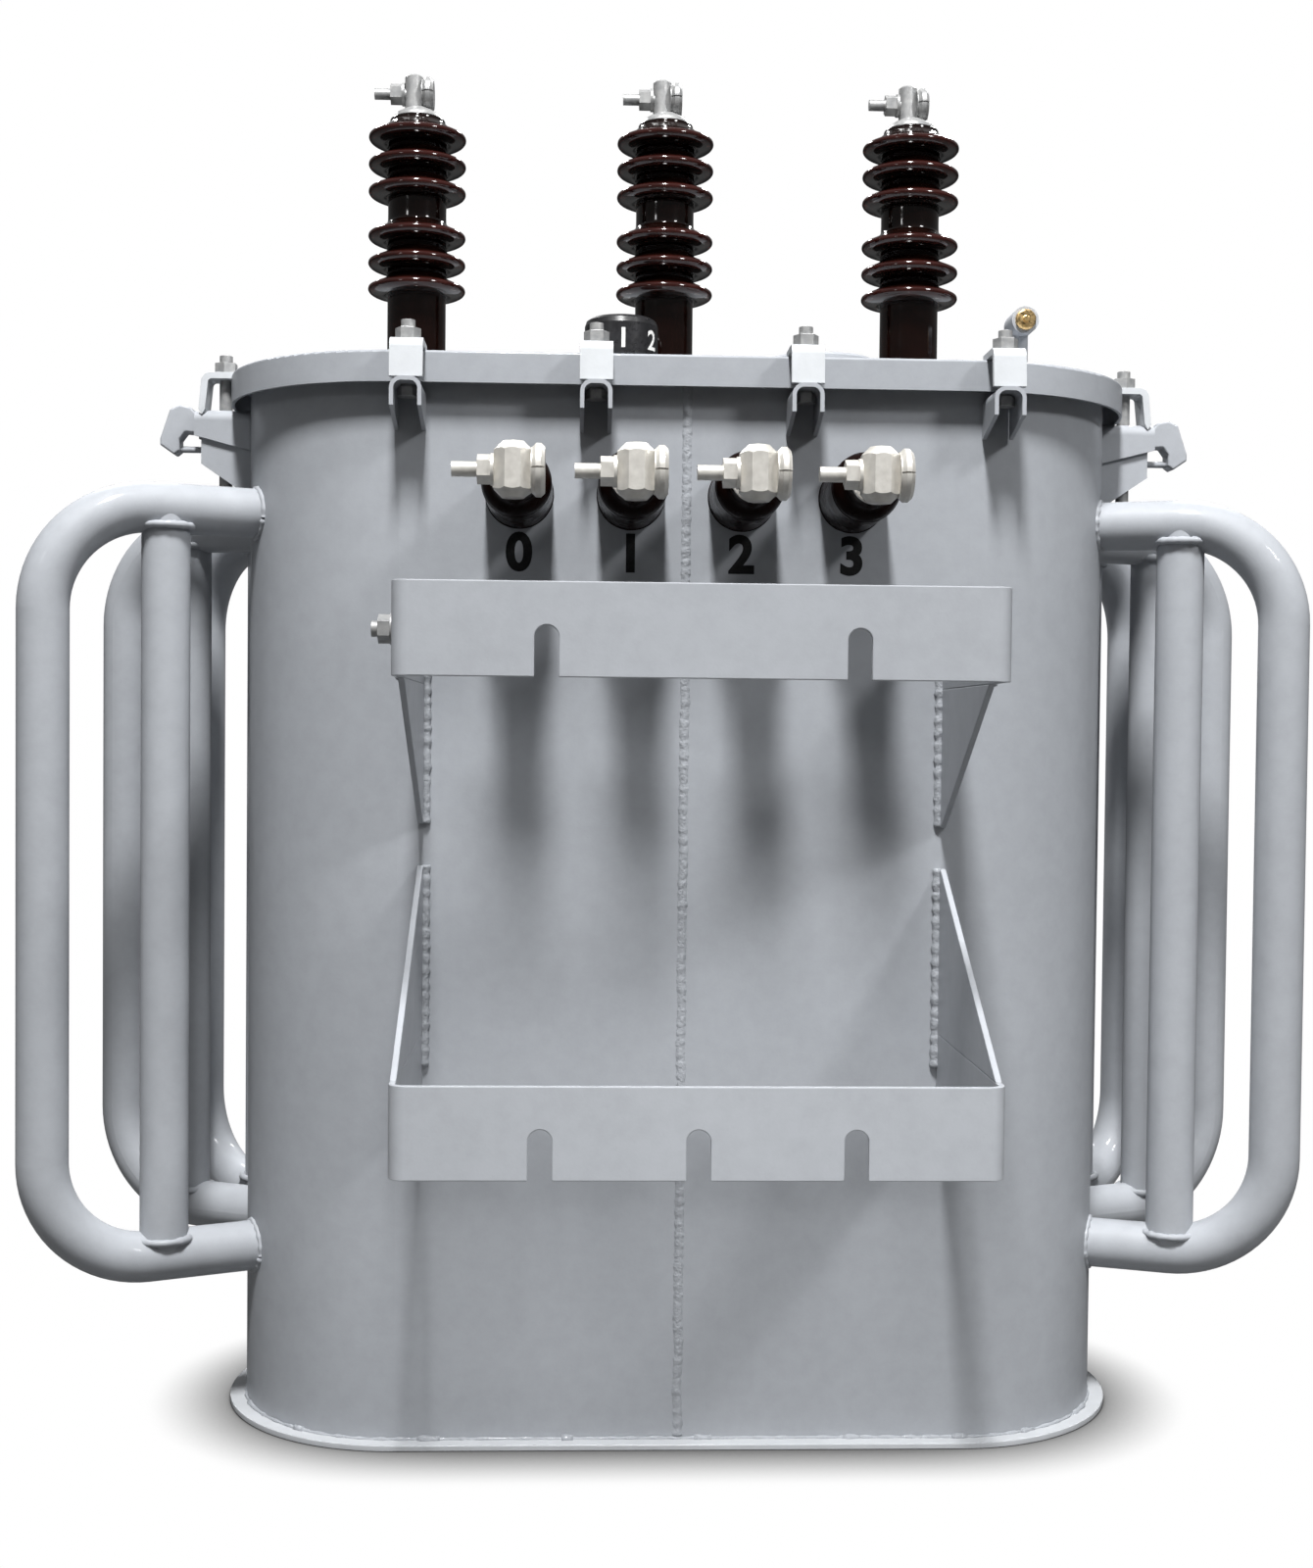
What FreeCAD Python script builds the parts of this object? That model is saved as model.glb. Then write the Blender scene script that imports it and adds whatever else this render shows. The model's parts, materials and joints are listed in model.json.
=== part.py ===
import FreeCAD, Part
import math
import os

# Three-phase pole-mounted distribution transformer.
# Millimetres.  X runs along the tank, -Y is the front with the low-voltage
# terminals and the pole brackets, +Z is up.  The origin is the middle of the
# underside of the base plate, on the ground.

V = FreeCAD.Vector
UP, FRONT, LEFT, RIGHT = V(0, 0, 1), V(0, -1, 0), V(-1, 0, 0), V(1, 0, 0)

# ---- tank: an oval shell on a projecting base plate --------------------------
TANK_HALF_LENGTH = 397.0
TANK_HALF_DEPTH = 150.0          # also the radius of the two round ends
WALL = 3.0
BASE_THICKNESS = 5.0
BASE_PROJECTION = 15.0
RIM_THICKNESS = 5.0
RIM_PROJECTION = 11.0
LID_TOP = 945.0
LID_PLATE = 4.0
LID_SKIRT_DROP = 27.0
LID_OVERHANG = 17.5
LID_SKIRT_WALL = 3.0
LID_EDGE_ROUNDING = 2.5
LID_UNDERSIDE = LID_TOP - LID_PLATE
END_CENTRE = TANK_HALF_LENGTH - TANK_HALF_DEPTH

# ---- cooling frames: bent pipe loops with a straight riser inside -------------
LOOP_PIPE_RADIUS = 22.25
RISER_PIPE_RADIUS = 21.2
LOOP_BEND_RADIUS = 92.0
HEADER_TOP = LID_TOP - 129.0
HEADER_BOTTOM = 152.0
# Each frame: its direction from the long axis in degrees, then how far its leg and
# its riser stand from the centre line of the round end.
COOLING_FRAMES = {
    "left_front": (-24.0, 335.0, 230.0),
    "left_middle": (24.0, 325.0, 250.0),
    "left_rear": (43.0, 325.0, 216.0),
    "right_front": (-20.0, 313.0, 222.0),
    "right_middle": (22.0, 325.0, 252.0),
    "right_rear": (41.0, 325.0, 235.0),
}

# ---- pole brackets -------------------------------------------------------------
BRACKET_HALF_WIDTH = 229.0
BRACKET_REACH = 260.0            # front face of the strap ahead of the tank
BRACKET_THICKNESS = 5.0
BRACKET_HEIGHT = 70.0
BRACKET_BEND = 12.0
UPPER_BRACKET_BOTTOM = 662.0
LOWER_BRACKET_BOTTOM = 292.0
SLOT_WIDTH = 18.0
SLOT_HEIGHT = 38.0
UPPER_SLOTS = (-115.0, 115.0)
LOWER_SLOTS = (-117.0, 0.0, 117.0)
GUSSET_NOSE = 6.0
UPPER_GUSSET_TIP = 542.0
UPPER_GUSSET_REACH = 196.0
LOWER_GUSSET_TIP = 506.0
LOWER_GUSSET_REACH = 240.0

# ---- lid clamps and lifting hooks -----------------------------------------------
CLAMP_POSITIONS = (-238.0, -79.0, 99.0, 270.0)
CLAMP_WIDTH = 28.0
CLAMP_THICKNESS = 6.0
CLAMP_LEG_OUTSIDE = 48.0         # outer face of the strap's leg ahead of the tank
CLAMP_SPLAY = 3.0                # how much further out the leg's foot is than its top
CLAMP_TOE = 16.0                 # how far the strap reaches in over the lid's edge
CLAMP_BOLT_DISTANCE = 25.0
CLAMP_BOLT_RADIUS = 6.0
SEAT_TOP = LID_TOP - 28.0
SEAT_WIDTH = 27.0
SEAT_WALL = 3.5
SEAT_CORNER = 10.0               # outside rounding along the top of the channel
SEAT_REACH = 50.0
SEAT_DEPTH_AT_TANK = 38.0
SEAT_DEPTH_AT_NOSE = 24.0
NOTCH_DEPTH = 5.5                # V in an end seat that the strap's pointed foot stands in
NOTCH_HALF_WIDTH = 6.0
HOOK_WIDTH = 20.0
HOOK_SEAT_REACH = 52.0
HOOK_ROD_RADIUS = 3.0
HOOK_ROD_DROP = 36.0             # below the top of the seat
FOOT_REACH = 46.0
FOOT_WALL = 3.0
END_BOLT_DROP = 74.0             # underside of the foot at an end bolt, below the seat's top

# ---- high-voltage bushings ---------------------------------------------------
HV_CENTRE = -15.0
HV_PITCH = 231.0
HV_BODY_RADIUS = 27.0
HV_SHED_RADIUS = 45.0
HV_SHED_HEIGHTS = tuple(LID_TOP + above for above in (87.0, 111.0, 136.0, 177.0, 202.0, 227.0))
HV_CAP_BOTTOM = LID_TOP + 245.0
HV_CAP_TOP = LID_TOP + 255.0
HV_CAP_RADIUS = 23.0
HV_TOP = LID_TOP + 285.0
HV_FLANGE_RADIUS = 37.0
HV_FLANGE_THICKNESS = 12.0

# ---- low-voltage bushings ----------------------------------------------------
LV_PITCH = 96.0
LV_HEIGHT = LID_TOP - 119.0
LV_RADIUS = 29.0
LV_STRAIGHT = 80.0
LV_NECK_RADIUS = 19.0
LV_LENGTH = 130.0

# Terminal blocks: width, height, stud radius, sloped edge, free length of the stud.
LV_BLOCK = (30.0, 44.0, 6.0, 7.5, 20.0)
HV_BLOCK = (17.0, 34.0, 5.0, 1.5, 15.0)
HV_BLOCK_OFFSET = -3.5           # the block stands a little to the left of the cap
NUT_LENGTH = 10.5

# ---- fittings on the lid --------------------------------------------------------
KNOB_PLACE = (-56.0, -71.0)
KNOB_RADIUS = 33.0
KNOB_TOP = LID_TOP + 49.0
KNOB_CLEARANCE = 5.0
HANDHOLE_PLACE = (126.0, -50.0)
RELIEF_PLACE = (318.0, -20.0)
RELIEF_HEIGHT = 62.0             # middle of the valve's body above the lid


def save(name, shape):
    """Write one piece as its own STEP file."""
    shape.exportStep("parts/" + name + ".step")


def oval(half_length, half_depth, bottom, top):
    """Upright solid with flat front and rear and fully round ends."""
    straight = half_length - half_depth
    corners = [V(-straight, -half_depth, bottom), V(straight, -half_depth, bottom),
               V(straight, half_depth, bottom), V(-straight, half_depth, bottom)]
    edges = [
        Part.makeLine(corners[0], corners[1]),
        Part.Arc(corners[1], V(half_length, 0, bottom), corners[2]).toShape(),
        Part.makeLine(corners[2], corners[3]),
        Part.Arc(corners[3], V(-half_length, 0, bottom), corners[0]).toShape(),
    ]
    return Part.Face(Part.Wire(edges)).extrude(V(0, 0, top - bottom))


def tank_oval(offset, bottom, top):
    """Oval solid whose outline stands `offset` outside the tank wall."""
    return oval(TANK_HALF_LENGTH + offset, TANK_HALF_DEPTH + offset, bottom, top)


def prism(points, along):
    """Solid swept straight from a closed flat outline."""
    return Part.Face(Part.makePolygon(points + points[:1])).extrude(along)


def hexagon(centre, axis, across_flats, length):
    """Hexagonal prism such as a nut, starting at `centre` and running along `axis`."""
    radius = across_flats / math.sqrt(3.0)
    points = [V(radius * math.cos(math.radians(60 * k)), radius * math.sin(math.radians(60 * k)), 0)
              for k in range(6)]
    nut = prism(points, V(0, 0, length))
    nut.Placement = FreeCAD.Placement(centre, FreeCAD.Rotation(UP, axis))
    return nut


def revolve(profile, origin, axis):
    """Turned solid from (radius, distance) pairs measured along `axis` from `origin`."""
    points = [V(radius, 0, distance) for radius, distance in profile]
    solid = Part.Face(Part.makePolygon(points + points[:1])).revolve(V(0, 0, 0), UP, 360)
    solid.Placement = FreeCAD.Placement(origin, FreeCAD.Rotation(UP, axis))
    return solid


def mirror_x(shape):
    """The same piece on the other end of the tank."""
    return shape.mirror(V(0, 0, 0), V(1, 0, 0))


# ---- tank ------------------------------------------------------------------------

def make_base_plate():
    return tank_oval(BASE_PROJECTION, 0, BASE_THICKNESS)


def make_tank_wall():
    outside = tank_oval(0, BASE_THICKNESS, LID_UNDERSIDE)
    return outside.cut(tank_oval(-WALL, BASE_THICKNESS, LID_UNDERSIDE))


def make_tank_rim():
    """Flat ring welded round the top of the wall; the lid rests on it."""
    bottom = LID_UNDERSIDE - RIM_THICKNESS
    return tank_oval(RIM_PROJECTION, bottom, LID_UNDERSIDE).cut(tank_oval(0, bottom, LID_UNDERSIDE))


def make_lid():
    bottom = LID_TOP - LID_SKIRT_DROP
    lid = tank_oval(LID_OVERHANG, bottom, LID_TOP)
    top_edges = [e for e in lid.Edges if e.BoundBox.ZMin > LID_TOP - 0.01]
    lid = lid.makeFillet(LID_EDGE_ROUNDING, top_edges)
    return lid.cut(tank_oval(LID_OVERHANG - LID_SKIRT_WALL, bottom, LID_UNDERSIDE))


# ---- cooling frames ----------------------------------------------------------------

def on_end(distance, angle, height):
    """Point beyond the right round end, `distance` from its centre line."""
    a = math.radians(angle)
    return V(END_CENTRE + distance * math.cos(a), distance * math.sin(a), height)


def make_loop(angle, leg):
    """Pipe that leaves the tank, drops as a straight leg and returns lower down."""
    start = TANK_HALF_DEPTH - LOOP_PIPE_RADIUS
    bend = LOOP_BEND_RADIUS
    middle = leg - bend + bend * math.sin(math.pi / 4)
    rise = bend * (1 - math.cos(math.pi / 4))

    def at(distance, height):
        return on_end(distance, angle, height)

    path = Part.Wire([
        Part.makeLine(at(start, HEADER_TOP), at(leg - bend, HEADER_TOP)),
        Part.Arc(at(leg - bend, HEADER_TOP), at(middle, HEADER_TOP - rise),
                 at(leg, HEADER_TOP - bend)).toShape(),
        Part.makeLine(at(leg, HEADER_TOP - bend), at(leg, HEADER_BOTTOM + bend)),
        Part.Arc(at(leg, HEADER_BOTTOM + bend), at(middle, HEADER_BOTTOM + rise),
                 at(leg - bend, HEADER_BOTTOM)).toShape(),
        Part.makeLine(at(leg - bend, HEADER_BOTTOM), at(start, HEADER_BOTTOM)),
    ])
    outward = at(1, 0) - at(0, 0)
    ring = Part.Wire([Part.makeCircle(LOOP_PIPE_RADIUS, at(start, HEADER_TOP), outward)])
    pipe = path.makePipeShell([ring], True, False)
    return pipe.cut(tank_oval(0, 0, LID_TOP))


def make_riser(angle, distance, loop):
    """Straight pipe between the two headers of one loop, saddled onto both."""
    riser = Part.makeCylinder(RISER_PIPE_RADIUS, HEADER_TOP - HEADER_BOTTOM,
                              on_end(distance, angle, HEADER_BOTTOM), UP)
    return riser.cut(loop)


# ---- pole brackets -----------------------------------------------------------------

def strap_block(half_width, front, bend, bottom):
    """Solid block from the tank face to `front` with two rounded upright corners."""
    block = Part.makeBox(2 * half_width, -TANK_HALF_DEPTH - front, BRACKET_HEIGHT,
                         V(-half_width, front, bottom))
    corners = [e for e in block.Edges
               if e.BoundBox.ZLength > BRACKET_HEIGHT - 0.01 and e.BoundBox.YMax < front + 0.01]
    return block.makeFillet(bend, corners)


def make_bracket(bottom, slots):
    """U-shaped strap with slots in its front that are open at the bottom."""
    front = -TANK_HALF_DEPTH - BRACKET_REACH
    strap = strap_block(BRACKET_HALF_WIDTH, front, BRACKET_BEND, bottom)
    strap = strap.cut(strap_block(BRACKET_HALF_WIDTH - BRACKET_THICKNESS, front + BRACKET_THICKNESS,
                                  BRACKET_BEND - BRACKET_THICKNESS, bottom))
    radius = SLOT_WIDTH / 2
    for x in slots:
        straight = SLOT_HEIGHT - radius
        strap = strap.cut(Part.makeBox(SLOT_WIDTH, BRACKET_THICKNESS, straight,
                                       V(x - radius, front, bottom)))
        strap = strap.cut(Part.makeCylinder(radius, BRACKET_THICKNESS,
                                            V(x, front, bottom + straight), V(0, 1, 0)))
    return strap


def make_gusset(edge_height, tip_height, reach):
    """Right-hand triangular web in line with a bracket arm, tapering to the tank."""
    tank = -TANK_HALF_DEPTH
    inside = BRACKET_HALF_WIDTH - BRACKET_THICKNESS
    points = [V(inside, tank, edge_height), V(inside, tank, tip_height),
              V(inside, tank - GUSSET_NOSE, tip_height), V(inside, tank - reach, edge_height)]
    return prism(points, V(BRACKET_THICKNESS, 0, 0))


def make_gussets():
    upper = make_gusset(UPPER_BRACKET_BOTTOM, UPPER_GUSSET_TIP, UPPER_GUSSET_REACH)
    lower = make_gusset(LOWER_BRACKET_BOTTOM + BRACKET_HEIGHT, LOWER_GUSSET_TIP, LOWER_GUSSET_REACH)
    return Part.makeCompound([upper, lower, mirror_x(upper), mirror_x(lower)])


def make_earth_terminal():
    """Bolt and nut on the outer face of the upper bracket's left arm."""
    face = V(-BRACKET_HALF_WIDTH, -TANK_HALF_DEPTH - BRACKET_REACH + 28, UPPER_BRACKET_BOTTOM + 35)
    washer = Part.makeCylinder(12, 2, face, LEFT)
    nut = hexagon(face + LEFT * 2, LEFT, 19, 9)
    stud = Part.makeCylinder(6, 16, face, LEFT)
    return washer.fuse([nut, stud]).removeSplitter()


# ---- lid clamps ---------------------------------------------------------------------
# Each clamp is drawn at the front with its middle on X = 0; `out` is distance
# ahead of the tank face.

def side_outline(pairs, width):
    """Solid of the given width from (out, height) pairs, centred on X = 0."""
    points = [V(-width / 2, -TANK_HALF_DEPTH - out, height) for out, height in pairs]
    return prism(points, V(width, 0, 0))


def edge_along_x(shape, out, height):
    """The edge parallel to X at a given distance out and height."""
    for edge in shape.Edges:
        box = edge.BoundBox
        if (box.YLength < 0.01 and box.ZLength < 0.01 and abs(box.YMin + TANK_HALF_DEPTH + out) < 0.01
                and abs(box.ZMin - height) < 0.01):
            return edge


def make_strap(foot_drop=0.0):
    """Bent clamp: a flat on the lid edge and a leg down onto the seat."""
    top, toe = LID_TOP + CLAMP_THICKNESS, LID_OVERHANG - CLAMP_TOE
    foot_out, foot_in = CLAMP_LEG_OUTSIDE, CLAMP_LEG_OUTSIDE - CLAMP_THICKNESS
    knee_out, knee_in = foot_out - CLAMP_SPLAY, foot_in - CLAMP_SPLAY
    outline = [(toe, LID_TOP), (knee_in, LID_TOP), (foot_in, SEAT_TOP)]
    if foot_drop:
        outline.append(((foot_in + foot_out) / 2, SEAT_TOP - foot_drop))
    outline += [(foot_out, SEAT_TOP), (knee_out, top), (toe, top)]
    strap = side_outline(outline, CLAMP_WIDTH)
    strap = strap.makeFillet(9.0, [edge_along_x(strap, knee_out, top)])
    strap = strap.makeFillet(3.5, [edge_along_x(strap, knee_in, LID_TOP)])
    bolt = Part.makeCylinder(CLAMP_BOLT_RADIUS, 60, bolt_place(SEAT_TOP), UP)
    return strap.cut(bolt)


def bolt_place(height):
    return V(0, -TANK_HALF_DEPTH - CLAMP_BOLT_DISTANCE, height)


def rounded_bar(width, top, corner, reach):
    """Bar running out from the tank, its two upper edges rounded."""
    low = SEAT_TOP - 60
    bar = Part.makeBox(width, reach, top - low, V(-width / 2, -TANK_HALF_DEPTH - reach, low))
    edges = [edge for edge in bar.Edges
             if edge.BoundBox.ZMin > top - 0.01 and edge.BoundBox.XLength < 0.01]
    return bar.makeFillet(corner, edges)


def make_seat(reach):
    """Round-backed channel under the clamp, deeper where it meets the tank."""
    ceiling = SEAT_TOP - SEAT_WALL
    seat = rounded_bar(SEAT_WIDTH, SEAT_TOP, SEAT_CORNER, reach)
    seat = seat.cut(rounded_bar(SEAT_WIDTH - 2 * SEAT_WALL, ceiling, SEAT_CORNER - SEAT_WALL, reach))
    below = side_outline([(-1, SEAT_TOP - SEAT_DEPTH_AT_TANK), (reach + 1, SEAT_TOP - SEAT_DEPTH_AT_NOSE),
                          (reach + 1, SEAT_TOP - 70), (-1, SEAT_TOP - 70)], SEAT_WIDTH + 2)
    bolt = Part.makeCylinder(CLAMP_BOLT_RADIUS, 20, bolt_place(ceiling - 8), UP)
    return seat.cut(below).cut(bolt)


def make_clamp_bolt(head_top=SEAT_TOP - SEAT_WALL - 2):
    """Bolt with its head below the seat and its nut on the strap."""
    strap_top = LID_TOP + CLAMP_THICKNESS
    shank = Part.makeCylinder(CLAMP_BOLT_RADIUS, strap_top + 17 - head_top, bolt_place(head_top), UP)
    head = hexagon(bolt_place(head_top - 8), UP, 16, 8)
    nut = hexagon(bolt_place(strap_top), UP, 19, 10)
    return shank.fuse([head, nut]).removeSplitter()


def make_foot():
    """Folded plate below an end seat: two cheeks joined by a nose, open underneath."""
    width = SEAT_WIDTH - 2 * SEAT_WALL
    top = SEAT_TOP - SEAT_DEPTH_AT_NOSE + 4
    foot = side_outline([(0, top), (FOOT_REACH, top), (FOOT_REACH, SEAT_TOP - 50), (0, SEAT_TOP - 81)],
                        width)
    hollow = side_outline([(-1, top + 1), (FOOT_REACH - FOOT_WALL, top + 1),
                           (FOOT_REACH - FOOT_WALL, SEAT_TOP - 90), (-1, SEAT_TOP - 90)],
                          width - 2 * FOOT_WALL)
    return foot.cut(hollow)


def make_lifting_hook():
    """End seat with a notch, carried out into a turned-down hook, with a foot and a rod below."""
    top = SEAT_TOP
    notch_at = CLAMP_LEG_OUTSIDE - CLAMP_THICKNESS / 2
    notch = side_outline([(notch_at - NOTCH_HALF_WIDTH, top), (notch_at, top - NOTCH_DEPTH),
                          (notch_at + NOTCH_HALF_WIDTH, top), (notch_at, top + NOTCH_DEPTH)],
                         SEAT_WIDTH + 2)
    seat = make_seat(HOOK_SEAT_REACH).cut(notch)
    hook = side_outline([
        (HOOK_SEAT_REACH - 3, top - 6), (56, top + 2), (66, top + 4), (75, top), (84, top - 27),
        (84, top - 33), (71, top - 42), (66, top - 38), (66, top - 28), (61, top - 21),
        (HOOK_SEAT_REACH - 3, top - 22)], HOOK_WIDTH)
    hook = hook.makeFillet(2.0, hook.Edges)
    rod = Part.makeCylinder(HOOK_ROD_RADIUS, 69 - FOOT_REACH + 1,
                            V(0, -TANK_HALF_DEPTH - FOOT_REACH + 1, top - HOOK_ROD_DROP), FRONT)
    return seat.fuse([hook, make_foot(), rod]).removeSplitter()


def to_front(shape, x):
    moved = shape.copy()
    moved.translate(V(x, 0, 0))
    return moved


def to_rear(shape, x):
    moved = shape.copy()
    moved.rotate(V(0, 0, 0), UP, 180)
    moved.translate(V(x, 0, 0))
    return moved


def to_right_end(shape):
    """Turn a clamp piece from the front face to the middle of the right end."""
    moved = shape.copy()
    moved.rotate(V(0, 0, 0), UP, 90)
    moved.translate(V(END_CENTRE, 0, 0))
    return moved


def along_both_sides(shape):
    places = [to_front(shape, x) for x in CLAMP_POSITIONS]
    return places + [to_rear(shape, x) for x in CLAMP_POSITIONS]


def all_round(shape, end_shape):
    """Copies along the front and the rear, and the end form at both ends."""
    end = to_right_end(end_shape)
    return along_both_sides(shape) + [end, mirror_x(end)]


# ---- bushings and terminals -------------------------------------------------------

def hv_profile():
    """Porcelain outline: plain lower body, two groups of three sheds, plain neck."""
    body, shed = HV_BODY_RADIUS, HV_SHED_RADIUS
    outline = [(0, LID_TOP), (body, LID_TOP)]
    for height in HV_SHED_HEIGHTS:
        outline += [(body, height - 6), (shed - 5, height - 6), (shed - 1.5, height - 4),
                    (shed, height - 1), (shed - 1, height + 2), (shed - 4, height + 4.5),
                    (body + 6, height + 9), (body, height + 12)]
    outline += [(body - 5, HV_CAP_BOTTOM), (0, HV_CAP_BOTTOM)]
    return outline


def make_hv_bushing(x):
    return revolve(hv_profile(), V(x, 0, 0), UP)


def make_hv_flanges(places):
    """Clamping rings that hold the porcelain bodies down on the lid."""
    rings = []
    for x in places:
        disc = Part.makeCylinder(HV_FLANGE_RADIUS, HV_FLANGE_THICKNESS, V(x, 0, LID_TOP), UP)
        rings.append(disc.cut(Part.makeCylinder(HV_BODY_RADIUS, HV_FLANGE_THICKNESS,
                                                V(x, 0, LID_TOP), UP)))
    return Part.makeCompound(rings)


def clamp_block(centre, block, sides=None):
    """Terminal block with sloped ends, a stud with its nut, and a round jaw plate."""
    across, height, stud, slope, free_length = block
    radius = across / 2
    if sides:
        radius = radius / math.cos(math.pi / sides)
    body = revolve([(0, -height / 2), (radius - slope, -height / 2), (radius, -height / 2 + slope),
                    (radius, height / 2 - slope), (radius - slope, height / 2), (0, height / 2)],
                   centre, UP)
    if sides:
        turns = [2 * math.pi * (k + 0.5) / sides for k in range(sides)]
        points = [V(centre.x + radius * math.cos(turn), centre.y + radius * math.sin(turn),
                    centre.z - height / 2) for turn in turns]
        body = body.common(prism(points, V(0, 0, height)))
    face = centre + LEFT * (across / 2)
    washer = Part.makeCylinder(2.1 * stud, 2.5, face, LEFT)
    nut = hexagon(face + LEFT * 2.5, LEFT, 3.4 * stud, NUT_LENGTH)
    rod = Part.makeCylinder(stud, across / 2 + 2.5 + NUT_LENGTH + free_length, centre, LEFT)
    jaw = make_jaw(centre + LEFT * (-across / 2 + 1), height / 2 - 1)
    return body.fuse([washer, nut, rod, jaw])


def make_jaw(face, radius):
    """Thick round plate close against the right of a terminal block, with a fine groove between."""
    gap, thickness, edge = 0.8, 10.0, 3.0
    plate = revolve([(0, 0), (radius * 0.85, 0), (radius * 0.85, gap), (radius - edge, gap),
                     (radius, gap + edge), (radius, gap + thickness - edge),
                     (radius - edge, gap + thickness), (0, gap + thickness)], face, RIGHT)
    split = Part.makeBox(thickness + gap, 4, 1.2, face + V(gap / 2, -radius, -0.6))
    return plate.cut(split)


def make_hv_terminal(x):
    cap = revolve([(0, HV_CAP_BOTTOM), (HV_CAP_RADIUS, HV_CAP_BOTTOM), (HV_CAP_RADIUS - 2, HV_CAP_BOTTOM + 4),
                   (HV_CAP_RADIUS - 9, HV_CAP_BOTTOM + 8), (HV_CAP_RADIUS - 13, HV_CAP_TOP),
                   (0, HV_CAP_TOP)], V(x, 0, 0), UP)
    block = clamp_block(V(x + HV_BLOCK_OFFSET, 0, HV_TOP - HV_BLOCK[1] / 2), HV_BLOCK)
    return cap.fuse(block).removeSplitter()


def make_lv_bushing(x):
    radius, neck, start = LV_RADIUS, LV_NECK_RADIUS, LV_STRAIGHT
    profile = [(0, 0), (radius, 0), (radius, start), (radius - 1.5, start + 8),
               (radius - 5, start + 14), (neck, start + 19), (neck, LV_LENGTH), (0, LV_LENGTH)]
    return revolve(profile, V(x, -TANK_HALF_DEPTH, LV_HEIGHT), FRONT)


def make_lv_terminal(x):
    face = V(x, -TANK_HALF_DEPTH - LV_LENGTH, LV_HEIGHT)
    disc = Part.makeCylinder(LV_NECK_RADIUS + 1, 5, face, FRONT)
    block = clamp_block(face + FRONT * (11 + LV_BLOCK[0] / 2), LV_BLOCK, sides=8)
    neck = Part.makeCylinder(9, 14, face, FRONT)
    return disc.fuse([neck, block]).removeSplitter()


# ---- fittings on the lid -----------------------------------------------------------

def make_tap_changer_base():
    """Fixed ring and spindle that the numbered knob turns on."""
    x, y = KNOB_PLACE
    ring = Part.makeCylinder(27, 7, V(x, y, LID_TOP), UP)
    spindle = Part.makeCylinder(7, KNOB_TOP - LID_TOP - 16, V(x, y, LID_TOP), UP)
    return ring.fuse(spindle).removeSplitter()


def make_tap_changer_knob():
    """Knob with a rounded top edge and a blind bore for the spindle."""
    x, y = KNOB_PLACE
    bottom = LID_TOP + 7 + KNOB_CLEARANCE
    knob = revolve([(0, bottom), (KNOB_RADIUS - 2, bottom), (KNOB_RADIUS, bottom + 2),
                    (KNOB_RADIUS, KNOB_TOP - 8), (KNOB_RADIUS - 1.5, KNOB_TOP - 3.5),
                    (KNOB_RADIUS - 5, KNOB_TOP - 1), (KNOB_RADIUS - 10, KNOB_TOP), (0, KNOB_TOP)],
                   V(x, y, 0), UP)
    bore = Part.makeCylinder(7.5, KNOB_TOP - 15 - bottom, V(x, y, bottom), UP)
    return knob.cut(bore)


def make_handhole_cover():
    """Short neck on the lid with a round cover and its centre bolt."""
    x, y = HANDHOLE_PLACE
    neck_top, cover_top, radius = LID_TOP + 10, LID_TOP + 18, 52
    neck = Part.makeCylinder(radius - 10, 10, V(x, y, LID_TOP), UP)
    cover = revolve([(0, neck_top), (radius, neck_top), (radius, cover_top - 2),
                     (radius - 3, cover_top), (0, cover_top)], V(x, y, 0), UP)
    nut = hexagon(V(x, y, cover_top), UP, 16, 8)
    stud = Part.makeCylinder(5, 14, V(x, y, cover_top), UP)
    return neck.fuse([cover, nut, stud]).removeSplitter()


def make_relief_valve():
    """Stem and body of the pressure relief valve."""
    x, y = RELIEF_PLACE
    boss = hexagon(V(x, y, LID_TOP), UP, 22, 9)
    stem = Part.makeCylinder(7, RELIEF_HEIGHT - 7, V(x, y, LID_TOP), UP)
    body = Part.makeCylinder(12.5, 34, V(x, y + 14, LID_TOP + RELIEF_HEIGHT), FRONT)
    return boss.fuse([stem, body]).removeSplitter()


def make_relief_face():
    """Round face of the relief valve with its small centre button."""
    x, y = RELIEF_PLACE
    front = V(x, y - 20, LID_TOP + RELIEF_HEIGHT)
    return revolve([(0, 0), (9.5, 0), (9.5, 3), (8, 4), (3, 4), (3, 7), (0, 7)], front, FRONT)


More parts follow.
